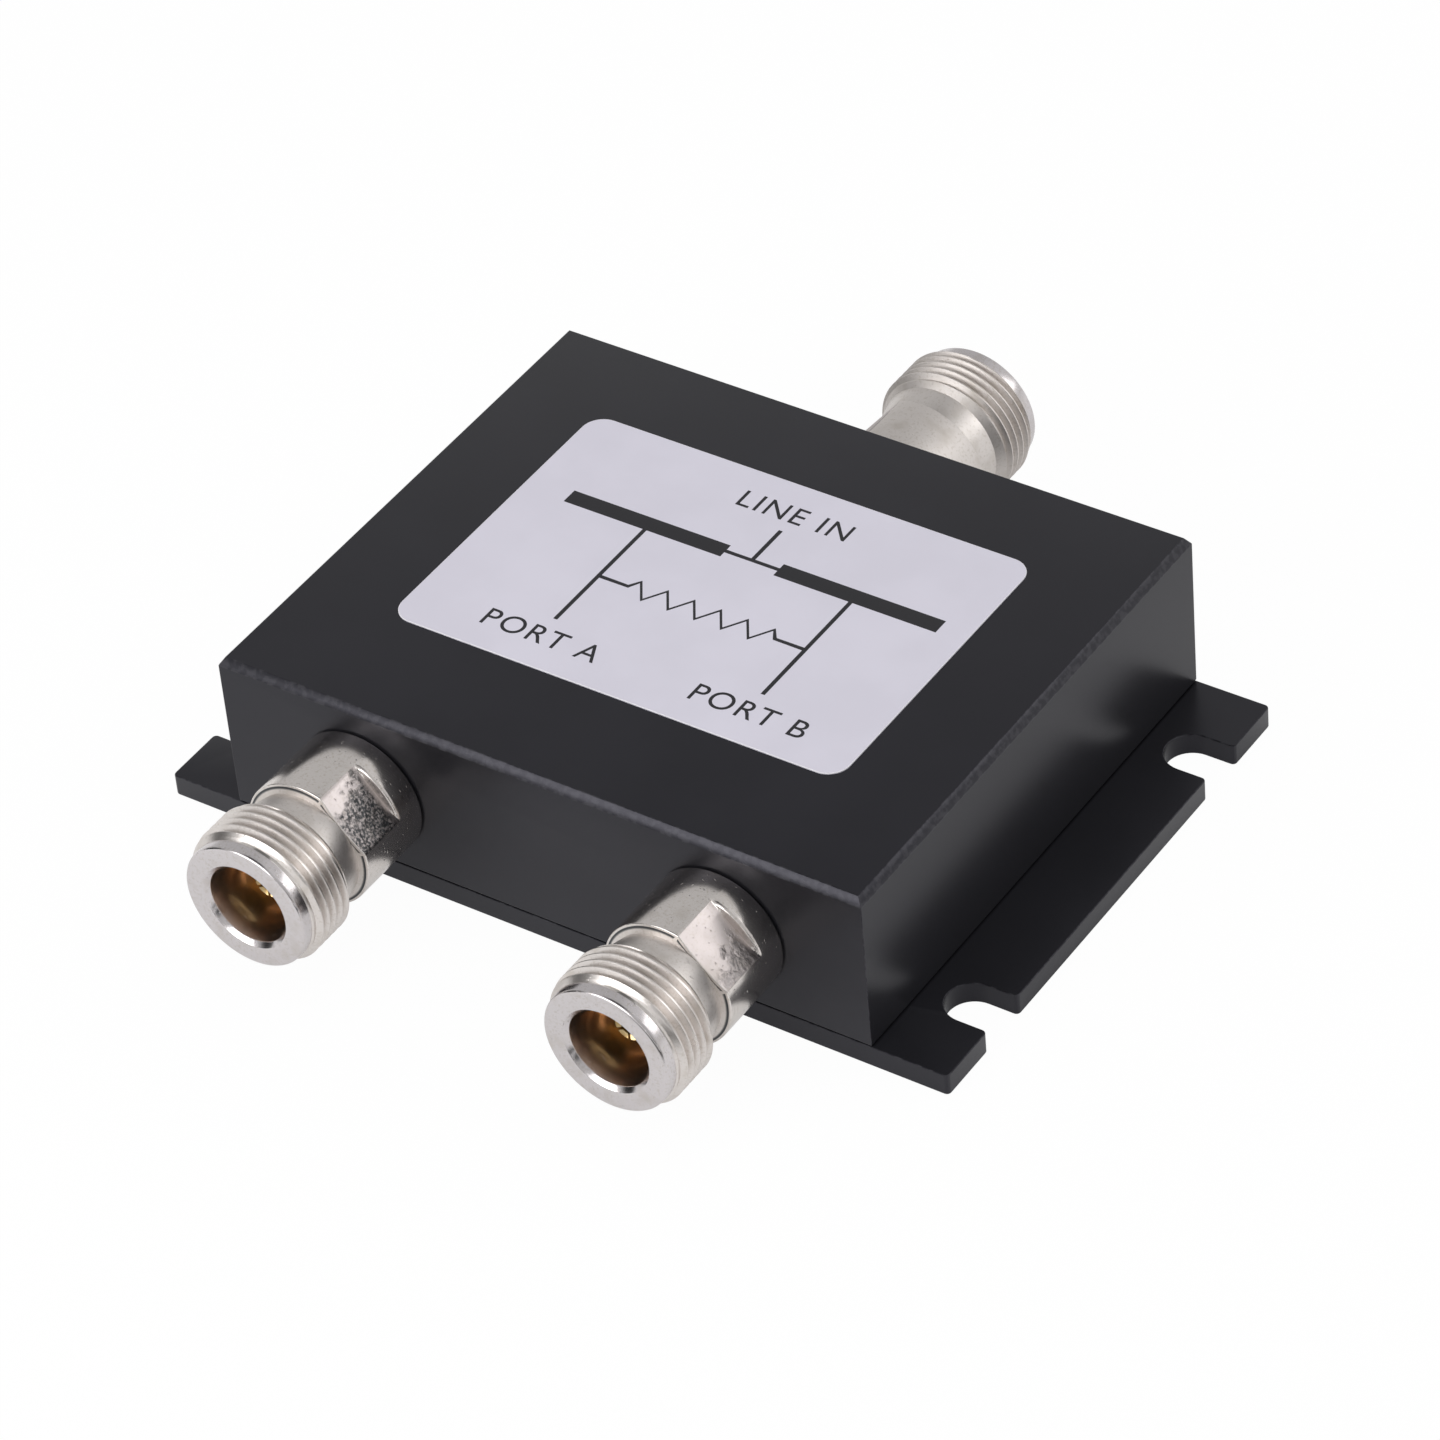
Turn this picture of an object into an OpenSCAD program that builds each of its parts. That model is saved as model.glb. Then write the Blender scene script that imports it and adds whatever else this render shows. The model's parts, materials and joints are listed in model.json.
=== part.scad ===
// Two-way RF power splitter: a milled box on a flanged base plate, one threaded
// coaxial socket at the back (input) and two at the front (outputs).
// X runs along the output face, Y points towards the input, Z is up.
// The origin is the middle of the base plate's underside.

/* [Housing] */
// Width of the housing, along the output face
body_w = 76.2; // [72:0.1:100]
// Depth of the housing, from the output face to the input face
body_d = 62.6; // [60:0.1:90]
// Height of the housing above the base plate
body_h = 18.9; // [18:0.1:30]
// Thickness of the two plain side walls
side_wall = 5; // [3:0.1:6]
// Thickness of the two walls that carry the sockets
end_wall = 5.3; // [4:0.1:6.5]
// Size of the square corner posts, from the outer faces
corner_post = 11; // [10:0.1:12]
// Bevel round the top edge, measured across the top
bevel_w = 0.6; // [0.2:0.05:1.2]
// Bevel round the top edge, measured down the walls
bevel_h = 0.9; // [0.2:0.05:1.5]

/* [Base plate] */
// Thickness of the base plate
plate_t = 2.5; // [2.2:0.1:5]
// Width of the flange on each side of the housing
flange_w = 8.6; // [7.5:0.1:14]
// Width of the open slots in the flanges
slot_w = 5.6; // [4.2:0.1:6.6]
// Depth of the slots, from the flange's edge to the round end
slot_depth = 6.2; // [4.5:0.1:7]
// Distance between the two slots of a flange
slot_pitch = 42.4; // [30:0.1:46]

/* [Base screws] */
// Thread diameter of the base screws
base_screw_d = 3; // [2.5:0.1:3.5]
// Length of the base screws, head included
base_screw_l = 10; // [8:0.5:14]
// Head diameter of the base screws
base_head_d = 5.6; // [5.2:0.1:6]
// How far the heads sit below the plate's underside
base_head_sink = 0.2; // [0.1:0.05:0.4]
// Distance of the base screws from the outer faces
base_screw_inset = 6.1; // [5:0.1:7]
// Hexagon socket of the base screws, across its flats
base_drive = 2; // [1.5:0.1:2.2]
// Depth of that hexagon socket
base_drive_depth = 1.2; // [0.6:0.1:1.4]

/* [Sockets] */
// Height of the socket axes above the base plate
axis_h = 8.4; // [8:0.1:9.5]
// Distance between the two output sockets
output_pitch = 42.8; // [30:0.1:44]
// Angle of the input's wrench flats, facing the socket
input_flat_angle = 40; // [0:1:179]
// Angle of the first output's wrench flats, facing the socket
output_1_flat_angle = 41.5; // [0:0.5:179]
// Angle of the second output's wrench flats, facing the socket
output_2_flat_angle = 46; // [0:0.5:179]
// Diameter of the spigot that screws into the wall
spigot_d = 11.8; // [10.5:0.1:13]
// Diameter of the bar that seats on the wall
bar_d = 14.6; // [14.2:0.1:15]
// Length of that bar
bar_l = 9.4; // [8.5:0.1:9.8]
// Width across the wrench flats
flat_w = 12.7; // [11.5:0.1:13.4]
// Distance from the wall to the start of the flats
flat_start = 3.7; // [2.5:0.1:5]
// Depth of the bevel at the bar's front
bar_lead = 0.25; // [0.1:0.05:0.4]
// Diameter of the tapered neck where it meets the thread
neck_d = 13.8; // [13:0.1:14]
// Distance from the wall to the start of the thread's full diameter
thread_start = 13.5; // [13:0.1:14.2]
// Outside diameter of the coupling thread
thread_d = 15.875; // [15.6:0.005:16.2]
// Length of the coupling thread at full diameter
thread_l = 4.5; // [4:0.1:4.9]
// Diameter of the plain land in front of the thread
land_d = 14.4; // [13.8:0.1:15]
// Distance from the wall to the rim
rim_l = 20.1; // [20:0.1:22]
// Bevel round the outside of the rim
rim_bevel = 0.35; // [0.2:0.05:0.8]
// Diameter of the mouth
mouth_d = 9; // [8.6:0.1:10]
// Bevel round the mouth
mouth_bevel = 0.5; // [0.2:0.05:0.8]
// Depth at which the mouth's taper ends
mouth_l = 3; // [2:0.1:4]
// Bore that takes the plug's outer contact
socket_d = 8.1; // [7.8:0.05:8.4]
// Depth of that bore, from the rim to the seat
socket_l = 9.1; // [8.5:0.1:9.5]
// Bore of the air line behind the seat
line_d = 7; // [6.5:0.1:7.4]

/* [Beads and contacts] */
// Diameter of the insulating bead
bead_d = 8; // [7.6:0.1:9]
// Distance from the wall to the bead's front
bead_front = 6; // [5:0.1:8]
// Diameter of the centre contact
contact_d = 3.04; // [2.8:0.02:3.3]
// Bore of the centre contact
contact_bore = 1.69; // [1.5:0.01:1.8]
// Depth of the contact's bore
contact_bore_l = 5.5; // [4.5:0.1:6.5]
// Distance from the rim to the contact's tip
tip_depth = 3.9; // [3.7:0.1:5]
// Width of the slots in the contact
contact_slot_w = 0.3; // [0.2:0.05:0.5]
// Length of the slots in the contact
contact_slot_l = 4.2; // [3:0.1:4.5]
// Diameter of the contact's shank in the bead
shank_d = 2.2; // [1.8:0.1:2.6]
// Diameter of the contact's solder pin
pin_d = 1.5; // [1.2:0.1:1.7]
// Length of the solder pin inside the housing
pin_l = 5; // [4:0.1:6]

/* [Circuit board] */
// Thickness of the laminate
board_t = 1.5; // [0.8:0.1:1.6]
// Gap between the board and the housing's walls
board_gap = 0.4; // [0.2:0.1:0.8]
// Thickness of the copper line
line_t = 0.1; // [0.05:0.01:0.2]
// Thickness of the ground foil
foil_t = 0.1; // [0.05:0.01:0.2]
// Width of the input and output lines
feed_w = 3; // [2:0.1:3.4]
// Width of the divider's arms
arm_w = 1.4; // [0.8:0.1:2]
// Width of the divider's loops, across both arms
loop_w = 18; // [12:0.5:24]
// Length of one divider section
section_l = 9.6; // [8:0.1:10]
// Distance from the input wall's inner face to the first section
feed_l = 10; // [8:0.1:12]
// Distance from a feed line's end to the wall
feed_gap = 1; // [0.6:0.1:1.5]
// Gap in the copper under a resistor
resistor_gap = 2; // [1.6:0.1:2.4]
// Length of a chip resistor
resistor_l = 3.2; // [3:0.1:4]
// Width of a chip resistor
resistor_w = 1.6; // [1.2:0.1:2]
// Height of a chip resistor
resistor_h = 0.6; // [0.4:0.1:0.8]
// Solder between a pin and the copper
solder_gap = 0.1; // [0.05:0.01:0.2]
// Width of a solder joint at the copper
solder_w = 2.8; // [2.6:0.1:3]
// Width of a solder joint at the pin's middle
solder_lip_w = 2.1; // [2:0.1:2.4]
// Length of a solder joint
solder_l = 3.4; // [2.5:0.1:3.5]

/* [Board screws] */
// Thread diameter of the board screws
board_screw_d = 2.5; // [2:0.1:3]
// Length of the board screws, without the head
board_screw_l = 6; // [5:0.5:6.5]
// Head diameter of the board screws
board_head_d = 4.6; // [4:0.1:5]
// Head height of the board screws
board_head_h = 1.6; // [1.2:0.1:2]
// Width of the screwdriver slot
board_slot_w = 0.7; // [0.5:0.1:0.9]
// Depth of the screwdriver slot
board_slot_depth = 0.8; // [0.5:0.1:1]
// Distance between the board screws, along X
board_screw_pitch_x = 54; // [53:0.5:56]
// Distance between the board screws, along Y
board_screw_pitch_y = 24; // [16:0.5:26]

/* [Label] */
// Width of the label
label_w = 53.5; // [30:0.5:68]
// Depth of the label
label_d = 37.2; // [20:0.1:52]
// Corner radius of the label
label_r = 2.4; // [0.5:0.1:5]
// Distance of the label's middle from the housing's middle, towards the input
label_shift = 1.1; // [-3:0.1:3]
// Thickness of the label
label_t = 0.15; // [0.1:0.01:0.3]

/* [Fits] */
// Gap round a screw in its clearance hole
hole_gap = 0.2; // [0.1:0.05:0.4]
// Run of a tapped hole past the screw's end
hole_run = 0.6; // [0.3:0.1:1]

/* [Hidden] */
$fn = 96;
// A cutter passes this far beyond the face that it opens
over = 1;
axis_z = plate_t + axis_h;
top_z = plate_t + body_h;
line_z = axis_z + pin_d / 2 + solder_gap;
board_z = line_z + line_t;
foil_z = board_z + board_t;
ceiling_z = foil_z + foil_t;
plate_w = body_w + 2 * flange_w;
pocket_w = body_w - 2 * side_wall;
pocket_d = body_d - 2 * end_wall;
wall_in = pocket_d / 2;
thread_end = thread_start + thread_l;
// The neck starts a little below the flats, so that they run out at the bar's front
throat_d = flat_w - 0.1;
flat_end = bar_l + bar_lead + 0.1;
// The thread runs in and out over bevels of 45 degrees
back_lead = (thread_d - neck_d) / 2;
front_lead = (thread_d - land_d) / 2;
seat_l = rim_l - socket_l;
tip_l = rim_l - tip_depth;
base_head_h = (base_head_d - base_screw_d) / 2;
output_x = output_pitch / 2;
sections = 3;
loop_y = wall_in - feed_l;
arm_in = resistor_gap / 2;
arm_out = loop_w / 2;

// A box centred on X and Y that stands on z = 0.
module block(w, d, h) {
    translate([-w / 2, -d / 2, 0]) cube([w, d, h]);
}

// A copy of the children at each of four points, mirrored about both axes.
module four(x, y) {
    for (sx = [-1, 1], sy = [-1, 1])
        translate([sx * x, sy * y, 0]) children();
}

// Puts a socket part on the input face, its axis pointing outwards.
module at_input() {
    translate([0, body_d / 2, axis_z]) rotate([90, 0, 180]) children();
}

// Puts a socket part on the output face at x, its axis pointing outwards.
module at_output(x) {
    translate([x, -body_d / 2, axis_z]) rotate([90, 0, 0]) children();
}

// The same child at all three sockets.
module at_sockets() {
    at_input() children();
    for (s = [-1, 1]) at_output(s * output_x) children();
}

// Cuts the bevel along a top edge of the given length that runs along X.
module edge_cut(length) {
    rotate([90, 0, 90])
        linear_extrude(length, center = true)
            polygon([[-bevel_w, 0], [over, 0], [over, -bevel_h - over * bevel_h / bevel_w], [0, -bevel_h]]);
}

// Plan of the pocket or of the board in it, a gap inside the walls and corner posts.
module pocket_plan(gap) {
    difference() {
        square([pocket_w - 2 * gap, pocket_d - 2 * gap], center = true);
        four(body_w / 2, body_d / 2)
            square(2 * (corner_post + gap), center = true);
    }
}

module housing() {
    color("#2b2a2e") difference() {
        translate([0, 0, plate_t]) block(body_w, body_d, body_h);
        translate([0, 0, plate_t - over])
            linear_extrude(ceiling_z - plate_t + over) pocket_plan(0);
        for (a = [0, 180]) rotate(a) {
            translate([0, body_d / 2, top_z]) edge_cut(body_w + 2 * over);
            rotate(90) translate([0, body_w / 2, top_z]) edge_cut(body_d + 2 * over);
        }
        at_sockets()
            translate([0, 0, -end_wall - over])
                cylinder(d = spigot_d, h = end_wall + 2 * over);
        four(body_w / 2 - base_screw_inset, body_d / 2 - base_screw_inset)
            translate([0, 0, plate_t - over])
                cylinder(d = base_screw_d, h = base_head_sink + base_screw_l - plate_t + hole_run + over);
        four(board_screw_pitch_x / 2, board_screw_pitch_y / 2)
            translate([0, 0, board_z])
                cylinder(d = board_screw_d, h = board_screw_l + hole_run);
    }
}

// A flange slot that opens towards +X; the origin is the flange's outer edge.
module slot() {
    translate([slot_w / 2 - slot_depth, 0, -over]) {
        cylinder(d = slot_w, h = plate_t + 2 * over);
        translate([0, -slot_w / 2, 0]) cube([slot_depth, slot_w, plate_t + 2 * over]);
    }
}

module base_plate() {
    color("#2e2d31") difference() {
        block(plate_w, body_d, plate_t);
        for (a = [0, 180], s = [-1, 1])
            rotate(a) translate([plate_w / 2, s * slot_pitch / 2, 0]) slot();
        four(body_w / 2 - base_screw_inset, body_d / 2 - base_screw_inset) {
            translate([0, 0, -over]) cylinder(d = base_screw_d + 2 * hole_gap, h = plate_t + 2 * over);
            translate([0, 0, -over]) cylinder(d = base_head_d, h = base_head_sink + over);
            translate([0, 0, base_head_sink])
                cylinder(d1 = base_head_d, d2 = base_screw_d, h = base_head_h);
        }
    }
}

module base_screws() {
    color("#8d8d90")
        four(body_w / 2 - base_screw_inset, body_d / 2 - base_screw_inset)
            translate([0, 0, base_head_sink]) difference() {
                union() {
                    cylinder(d1 = base_head_d, d2 = base_screw_d, h = base_head_h);
                    cylinder(d = base_screw_d, h = base_screw_l);
                }
                translate([0, 0, -over])
                    cylinder(d = base_drive / cos(30), h = base_drive_depth + over, $fn = 6);
            }
}

module label() {
    color("#d3d0dc")
        translate([0, label_shift, top_z]) linear_extrude(label_t) {
            square([label_w, label_d - 2 * label_r], center = true);
            square([label_w - 2 * label_r, label_d], center = true);
            four(label_w / 2 - label_r, label_d / 2 - label_r) circle(r = label_r);
        }
}

// Turned socket body along +Z, seated on the wall at z = 0.
module socket_body(flat_angle) {
    color("#b9b3ac") difference() {
        rotate_extrude() polygon([
            [bead_d / 2, -end_wall],
            [spigot_d / 2, -end_wall],
            [spigot_d / 2, 0],
            [bar_d / 2, 0],
            [bar_d / 2, bar_l],
            [throat_d / 2, bar_l + bar_lead],
            [neck_d / 2, thread_start - back_lead],
            [thread_d / 2, thread_start],
            [thread_d / 2, thread_end],
            [land_d / 2, thread_end + front_lead],
            [land_d / 2, rim_l - rim_bevel],
            [land_d / 2 - rim_bevel, rim_l],
            [mouth_d / 2 + mouth_bevel, rim_l],
            [mouth_d / 2, rim_l - mouth_bevel],
            [socket_d / 2, rim_l - mouth_l],
            [socket_d / 2, seat_l],
            [line_d / 2, seat_l],
            [line_d / 2, bead_front],
            [bead_d / 2, bead_front]
        ]);
        for (a = [0, 180])
            rotate(flat_angle + a)
                translate([flat_w / 2, -bar_d / 2, flat_start])
                    cube([bar_d, bar_d, flat_end - flat_start]);
    }
}

// Insulating bead that fills the body behind the air line.
module socket_bead() {
    color("#efece4") difference() {
        translate([0, 0, -end_wall]) cylinder(d = bead_d, h = end_wall + bead_front);
        translate([0, 0, -end_wall - over]) cylinder(d = shank_d, h = end_wall + bead_front + 2 * over);
    }
}

// Slotted centre contact, its shank in the bead and its pin inside the housing.
module socket_contact() {
    color("#c79a4a") difference() {
        union() {
            translate([0, 0, bead_front]) cylinder(d = contact_d, h = tip_l - bead_front);
            translate([0, 0, -end_wall]) cylinder(d = shank_d, h = end_wall + bead_front);
            translate([0, 0, -end_wall - pin_l]) cylinder(d = pin_d, h = pin_l);
        }
        translate([0, 0, tip_l - contact_bore_l]) cylinder(d = contact_bore, h = contact_bore_l + over);
        for (a = [30, 90, 150])
            rotate(a) translate([0, 0, tip_l - contact_slot_l])
                block(2 * contact_d, contact_slot_w, contact_slot_l + over);
    }
}

// Solder between a pin and the copper line above it.
module socket_solder() {
    color("#b4b6b8")
        translate([0, 0, -end_wall - pin_l])
            linear_extrude(solder_l) difference() {
                polygon([
                    [-solder_w / 2, pin_d / 2 + solder_gap],
                    [-solder_lip_w / 2, 0],
                    [solder_lip_w / 2, 0],
                    [solder_w / 2, pin_d / 2 + solder_gap]
                ]);
                circle(d = pin_d);
            }
}

module circuit_board() {
    color("#d9d3bd")
        translate([0, 0, board_z]) linear_extrude(board_t) board_plan();
}

module ground_foil() {
    color("#b87a4b")
        translate([0, 0, foil_z]) linear_extrude(foil_t) board_plan();
}

// Plan of the board with its four screw holes.
module board_plan() {
    difference() {
        pocket_plan(board_gap);
        four(board_screw_pitch_x / 2, board_screw_pitch_y / 2)
            circle(d = board_screw_d + 2 * hole_gap);
    }
}

// Place of the resistor that ends a section, counted from the input.
function resistor_y(i) = loop_y - i * section_l;

// A strip of copper between two corners, given as x and y ranges.
module strip(x0, x1, y0, y1) {
    translate([min(x0, x1), min(y0, y1)]) square([abs(x1 - x0), abs(y1 - y0)]);
}

// One arm of one section: out from the middle, along, and back to the next resistor.
module arm(y0, y1) {
    strip(arm_in, arm_out, y0 - arm_w, y0);
    strip(arm_out - arm_w, arm_out, y1, y0);
    strip(arm_in, arm_out, y1, y1 + arm_w);
}

module divider_line() {
    pad_w = resistor_l / 2 - arm_in + arm_w;
    land = arm_w / 2;
    last_y = resistor_y(sections);
    color("#c08552")
        translate([0, 0, line_z]) linear_extrude(line_t) {
            strip(-feed_w / 2, feed_w / 2, loop_y - arm_w, wall_in - feed_gap);
            strip(-arm_out, arm_out, loop_y - arm_w, loop_y);
            for (m = [0, 1]) mirror([m, 0]) {
                for (i = [1 : sections]) {
                    arm(resistor_y(i - 1) - (i > 1 ? land : 0), resistor_y(i) + land);
                    strip(arm_in, arm_in + pad_w, resistor_y(i) - land - arm_w, resistor_y(i) + land + arm_w);
                }
                strip(arm_in, output_x + feed_w / 2, last_y - land - feed_w, last_y - land);
                strip(output_x - feed_w / 2, output_x + feed_w / 2, feed_gap - wall_in, last_y - land);
            }
        }
}

// Chip resistor that bridges the two arms at the end of a section.
module resistor(i) {
    color("#3a3a3c")
        translate([0, resistor_y(i), line_z - resistor_h])
            block(resistor_l, resistor_w, resistor_h);
}

module board_screws() {
    color("#9a9a9c")
        four(board_screw_pitch_x / 2, board_screw_pitch_y / 2)
            translate([0, 0, board_z]) {
                cylinder(d = board_screw_d, h = board_screw_l);
                difference() {
                    translate([0, 0, -board_head_h]) cylinder(d = board_head_d, h = board_head_h);
                    translate([0, 0, -board_head_h - over])
                        block(2 * board_head_d, board_slot_w, board_slot_depth + over);
                }
            }
}

housing();
base_plate();
base_screws();
label();
at_input() socket_body(input_flat_angle);  // input_body
at_input() socket_bead();  // input_bead
at_input() socket_contact();  // input_contact
at_input() socket_solder();  // input_solder
at_output(-output_x) socket_body(output_1_flat_angle);  // output_1_body
at_output(-output_x) socket_bead();  // output_1_bead
at_output(-output_x) socket_contact();  // output_1_contact
at_output(-output_x) socket_solder();  // output_1_solder
at_output(output_x) socket_body(output_2_flat_angle);  // output_2_body
at_output(output_x) socket_bead();  // output_2_bead
at_output(output_x) socket_contact();  // output_2_contact
at_output(output_x) socket_solder();  // output_2_solder
circuit_board();
divider_line();
ground_foil();
resistor(1);  // resistor_1
resistor(2);  // resistor_2
resistor(3);  // resistor_3
board_screws();
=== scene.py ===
"""Looks of a two-way radio-frequency power splitter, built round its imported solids.

Lengths are in metres. The frame is the part's own: X runs along the output face, Y points towards
the input socket, Z is up, and the origin lies under the middle of the base plate.
"""

import json
import logging
import math
from dataclasses import dataclass
from enum import Enum

import bmesh
import bpy
from mathutils import Matrix, Vector


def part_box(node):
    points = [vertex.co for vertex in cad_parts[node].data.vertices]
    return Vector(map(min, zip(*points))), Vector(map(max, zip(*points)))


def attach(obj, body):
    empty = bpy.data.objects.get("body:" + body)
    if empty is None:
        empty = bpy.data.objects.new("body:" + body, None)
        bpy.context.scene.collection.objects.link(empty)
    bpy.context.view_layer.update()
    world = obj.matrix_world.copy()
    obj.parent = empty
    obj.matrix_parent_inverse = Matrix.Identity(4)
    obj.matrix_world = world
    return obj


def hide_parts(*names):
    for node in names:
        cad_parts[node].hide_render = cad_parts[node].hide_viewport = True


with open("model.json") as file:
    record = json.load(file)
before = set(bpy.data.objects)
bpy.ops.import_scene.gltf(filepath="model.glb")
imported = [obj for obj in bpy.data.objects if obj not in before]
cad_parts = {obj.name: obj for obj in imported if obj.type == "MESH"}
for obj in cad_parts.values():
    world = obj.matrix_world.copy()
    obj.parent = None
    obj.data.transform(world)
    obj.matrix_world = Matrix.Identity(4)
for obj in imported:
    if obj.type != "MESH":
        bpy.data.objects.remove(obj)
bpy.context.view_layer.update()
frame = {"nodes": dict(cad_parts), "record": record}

MM = 0.001
BODY = "root"
MERGE = 1e-7
WELD = 1e-3 * MM
FLAT_ANGLE = 0.5
FACES_ALONG = 0.99
LOG = logging.getLogger("splitter")

Colour = tuple[float, float, float]
Triple = tuple[float, float, float]
Span = tuple[float, float]


class Facing(Enum):
    """Way that a socket faces, as its turn about Z from the output face."""

    FRONT = 0.0
    BACK = math.pi


class Crease(Enum):
    """Angle in degrees above which an edge of a piece stays sharp."""

    MILLED = 20.0
    TURNED = 28.0


class Ray(Enum):
    """Kinds of ray that a studio surface tells apart."""

    CAMERA = "Is Camera Ray"
    GLOSSY = "Is Glossy Ray"
    TRANSMISSION = "Is Transmission Ray"


def display(red: int, green: int, blue: int) -> Colour:
    """Turn a colour as a screen shows it into the linear one that a shader takes.

    Args:
        red: Red level, 0 to 255.
        green: Green level, 0 to 255.
        blue: Blue level, 0 to 255.

    Returns:
        The linear colour, each share from 0 to 1.
    """
    shares = [level / 255 for level in (red, green, blue)]
    return tuple(s / 12.92 if s <= 0.04045 else ((s + 0.055) / 1.055) ** 2.4 for s in shares)


class Link:
    """Output of a shader node, on which arithmetic adds Math nodes."""

    def __init__(self, graph: "Graph", output: bpy.types.NodeSocket | None) -> None:
        """Keep the graph that makes nodes and the output that they read."""
        self.graph = graph
        self.output = output

    def sibling(self, name: str) -> "Link":
        """Another output of the same node."""
        return Link(self.graph, self.output.node.outputs[name])

    def math(self, operation: str, *others: "Link | float") -> "Link":
        """Join this output and the others in a Math node."""
        values = dict(enumerate((self, *others)))
        return self.graph.node("ShaderNodeMath", {"operation": operation}, values)

    def __add__(self, other: "Link | float") -> "Link":
        """Sum of the two."""
        return self.math("ADD", other)

    def __radd__(self, other: float) -> "Link":
        """Sum of the two."""
        return self.math("ADD", other)

    def __sub__(self, other: "Link | float") -> "Link":
        """This less the other."""
        return self.math("SUBTRACT", other)

    def __rsub__(self, other: float) -> "Link":
        """The other less this."""
        return self.math("MULTIPLY_ADD", -1.0, other)

    def __mul__(self, other: "Link | float") -> "Link":
        """Product of the two."""
        return self.math("MULTIPLY", other)

    def __rmul__(self, other: float) -> "Link":
        """Product of the two."""
        return self.math("MULTIPLY", other)

    def larger(self, other: "Link | float") -> "Link":
        """The larger of the two."""
        return self.math("MAXIMUM", other)

    def rise(self, low: float, high: float) -> "Link":
        """Smooth step between two levels.

        Args:
            low: Level at which the step is still 0.
            high: Level at which it has come to 1, which may be the smaller of the two.

        Returns:
            The step, from 0 to 1.
        """
        low_first = low < high
        values = {"Value": self, "From Min": min(low, high), "From Max": max(low, high),
                  "To Min": 0.0 if low_first else 1.0, "To Max": 1.0 if low_first else 0.0}
        return self.graph.node("ShaderNodeMapRange", {"interpolation_type": "SMOOTHSTEP"}, values)


class Graph:
    """Node tree that is filled through one node-making method."""

    def __init__(self, tree: bpy.types.NodeTree) -> None:
        """Take over a tree and empty it."""
        self.tree = tree
        tree.nodes.clear()

    def node(self, kind: str, settings: dict[str, object] | None = None,
             values: dict[str | int, object] | None = None, output: str | int = 0) -> Link:
        """Make a node.

        Args:
            kind: Blender's name of the node type.
            settings: Properties of the node, which are set first.
            values: Values or links of its input sockets, by name or number.
            output: Output that is handed on, by name or number.

        Returns:
            The chosen output, or an empty link where the node has none.
        """
        made = self.tree.nodes.new(kind)
        for key, setting in (settings or {}).items():
            setattr(made, key, setting)
        for key, value in (values or {}).items():
            socket = made.inputs[key]
            if isinstance(value, Link):
                self.tree.links.new(value.output, socket)
            elif socket.type == "RGBA":
                socket.default_value = (*value, 1.0)
            else:
                socket.default_value = value
        return Link(self, made.outputs[output] if len(made.outputs) else None)

    def place(self) -> Link:
        """Object coordinates."""
        return self.node("ShaderNodeTexCoord", output="Object")

    def attribute(self, name: str) -> Link:
        """Number that the piece keeps under a name."""
        return self.node("ShaderNodeAttribute", {"attribute_name": name}, output="Fac")

    def noise(self, where: Link, size: float, detail: float = 2.0,
              stretch: Triple = (1.0, 1.0, 1.0)) -> Link:
        """Soft noise over space.

        Args:
            where: Coordinates that it follows.
            size: Width of its lumps, in metres.
            detail: Number of finer layers.
            stretch: How many times finer it is along each axis.

        Returns:
            Noise about 0.5.
        """
        scale = tuple(times / size for times in stretch)
        scaled = self.node("ShaderNodeMapping", values={"Vector": where, "Scale": scale})
        return self.node("ShaderNodeTexNoise", values={"Vector": scaled, "Scale": 1.0, "Detail": detail})

    def lines(self, run: Link, spacing: float) -> Link:
        """Noise along one length, which gives lines across it."""
        values = {"W": run * (1 / spacing), "Scale": 1.0, "Detail": 2.0}
        return self.node("ShaderNodeTexNoise", {"noise_dimensions": "1D"}, values)

    def towards(self, ray: Link, aim: Triple) -> Link:
        """Cosine of the angle between a ray and a fixed direction."""
        values = {0: ray, 1: Vector(aim).normalized()}
        return self.node("ShaderNodeVectorMath", {"operation": "DOT_PRODUCT"}, values, output="Value")

    def blend(self, share: Link, first: "Link | Colour", second: "Link | Colour") -> Link:
        """Mix two colours by a share of the second."""
        values = {0: share, 6: first, 7: second}
        return self.node("ShaderNodeMix", {"data_type": "RGBA"}, values, output=2)

    def bump(self, height: Link, light_share: float) -> Link:
        """Normal of a relief that is so deep."""
        return self.node("ShaderNodeBump", values={"Height": height, "Distance": light_share, "Strength": 1.0})

    def rays(self, *kinds: Ray) -> Link:
        """Tell kinds of ray apart.

        Args:
            kinds: Kinds that count.

        Returns:
            1 for those kinds of ray and 0 for the others.
        """
        found = self.node("ShaderNodeLightPath", output=kinds[0].value)
        total = found
        for kind in kinds[1:]:
            total = total.larger(found.sibling(kind.value))
        return total


@dataclass(frozen=True)
class Finish:
    """What every finish has: its name, its main colour and its roughness."""

    name: str
    tint: Colour
    roughness: float

    def sockets(self, graph: Graph) -> dict[str, object]:
        """Values and links of the surface shader."""
        raise NotImplementedError

    def shade(self, share: float) -> Colour:
        """The main colour, lighter or darker."""
        return tuple(level * share for level in self.tint)

    def material(self) -> bpy.types.Material:
        """Make the finish's material.

        Returns:
            A new material whose surface follows the finish.
        """
        made = bpy.data.materials.new(self.name)
        made.use_nodes = True
        graph = Graph(made.node_tree)
        surface = graph.node("ShaderNodeBsdfPrincipled", values=self.sockets(graph))
        graph.node("ShaderNodeOutputMaterial", values={"Surface": surface})
        return made


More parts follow.
